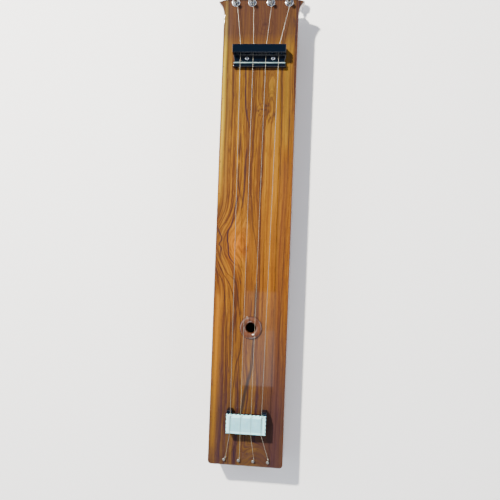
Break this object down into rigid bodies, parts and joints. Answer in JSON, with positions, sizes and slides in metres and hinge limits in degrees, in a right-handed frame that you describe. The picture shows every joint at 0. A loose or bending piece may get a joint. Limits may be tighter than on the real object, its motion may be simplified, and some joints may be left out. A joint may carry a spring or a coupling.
{
  "type": "tanpura",
  "caption": "Compact flat-box drone lute: long hollow wooden box with a flared head, geared tuners, nut block, turned sound-hole ring and wide flat bridge.",
  "frame": {"origin": "on the back's plane, under the middle of the whole length and width", "axes": "+X across the face, +Y along the strings towards the head, +Z out of the face"},
  "size_m": [0.155, 0.8714, 0.0904],
  "materials": {
    "face_teak": "clear gloss lacquer over figured teak",
    "side_teak": "clear gloss lacquer",
    "inner_wood": "bare planed wood",
    "turned_wood": "turned and lacquered",
    "black_wood": "black stained and polished",
    "white_bone": "satin polish",
    "chrome": "polished plate",
    "steel": "bright",
    "gear_brass": "cut",
    "string_wire": "drawn wire",
    "cotton": "twisted thread"
  },
  "bodies": {
    "body": {"soundboard": "face_teak", "back_panel": "side_teak", "side_left": "side_teak", "side_right": "side_teak", "head_block": "side_teak", "end_block": "side_teak", "tail_block": "side_teak", "linings": "inner_wood", "soundboard_braces": "inner_wood", "back_braces": "inner_wood", "nut_brace": "inner_wood", "sound_ring": "turned_wood", "nut_block": "black_wood", "nut_strip": "white_bone", "nut_screws": "chrome", "bridge_base": "black_wood", "bridge_plate": "white_bone", "jiva_threads": "cotton", "string_pins": "steel", "face_brads": "steel", "housing_covers": "chrome", "tuner_screws": "steel", "washers": "chrome", "hex_bushings": "chrome", "string_1": "string_wire", "string_2": "string_wire", "string_3": "string_wire", "string_4": "string_wire", "tuner_housing_1": "chrome", "tuner_housing_2": "chrome", "tuner_housing_3": "chrome", "tuner_housing_4": "chrome"},
    "post_shaft_1": {"post_1": "chrome", "wheel_1": "gear_brass", "wheel_screw_1": "steel", "string_winding_1": "string_wire"},
    "button_shaft_1": {"worm_1": "steel", "button_1": "chrome", "button_screw_1": "steel"},
    "post_shaft_2": {"post_2": "chrome", "wheel_2": "gear_brass", "wheel_screw_2": "steel", "string_winding_2": "string_wire"},
    "button_shaft_2": {"worm_2": "steel", "button_2": "chrome", "button_screw_2": "steel"},
    "post_shaft_3": {"post_3": "chrome", "wheel_3": "gear_brass", "wheel_screw_3": "steel", "string_winding_3": "string_wire"},
    "button_shaft_3": {"worm_3": "steel", "button_3": "chrome", "button_screw_3": "steel"},
    "post_shaft_4": {"post_4": "chrome", "wheel_4": "gear_brass", "wheel_screw_4": "steel", "string_winding_4": "string_wire"},
    "button_shaft_4": {"worm_4": "steel", "button_4": "chrome", "button_screw_4": "steel"}
  },
  "joints": [
    {"name": "button_spin_1", "type": "hinge", "parent": "body", "child": "button_shaft_1", "pos_m": [-0.03825, 0.3973, 0.03875], "axis": [0, 1, 0], "continuous": true},
    {"name": "post_spin_1", "type": "hinge", "parent": "body", "child": "post_shaft_1", "pos_m": [-0.046, 0.3973, 0.062], "axis": [0, 0, 1], "continuous": true},
    {"name": "button_spin_2", "type": "hinge", "parent": "body", "child": "button_shaft_2", "pos_m": [-0.00865, 0.3973, 0.03875], "axis": [0, 1, 0], "continuous": true},
    {"name": "post_spin_2", "type": "hinge", "parent": "body", "child": "post_shaft_2", "pos_m": [-0.0164, 0.3973, 0.062], "axis": [0, 0, 1], "continuous": true},
    {"name": "button_spin_3", "type": "hinge", "parent": "body", "child": "button_shaft_3", "pos_m": [0.02475, 0.3973, 0.03875], "axis": [0, 1, 0], "continuous": true},
    {"name": "post_spin_3", "type": "hinge", "parent": "body", "child": "post_shaft_3", "pos_m": [0.017, 0.3973, 0.062], "axis": [0, 0, 1], "continuous": true},
    {"name": "button_spin_4", "type": "hinge", "parent": "body", "child": "button_shaft_4", "pos_m": [0.05795, 0.3973, 0.03875], "axis": [0, 1, 0], "continuous": true},
    {"name": "post_spin_4", "type": "hinge", "parent": "body", "child": "post_shaft_4", "pos_m": [0.0502, 0.3973, 0.062], "axis": [0, 0, 1], "continuous": true}
  ],
  "couplings": [
    {"joint": "post_spin_1", "follows": "button_spin_1", "ratio": -0.066667},
    {"joint": "post_spin_2", "follows": "button_spin_2", "ratio": -0.066667},
    {"joint": "post_spin_3", "follows": "button_spin_3", "ratio": -0.066667},
    {"joint": "post_spin_4", "follows": "button_spin_4", "ratio": -0.066667}
  ]
}
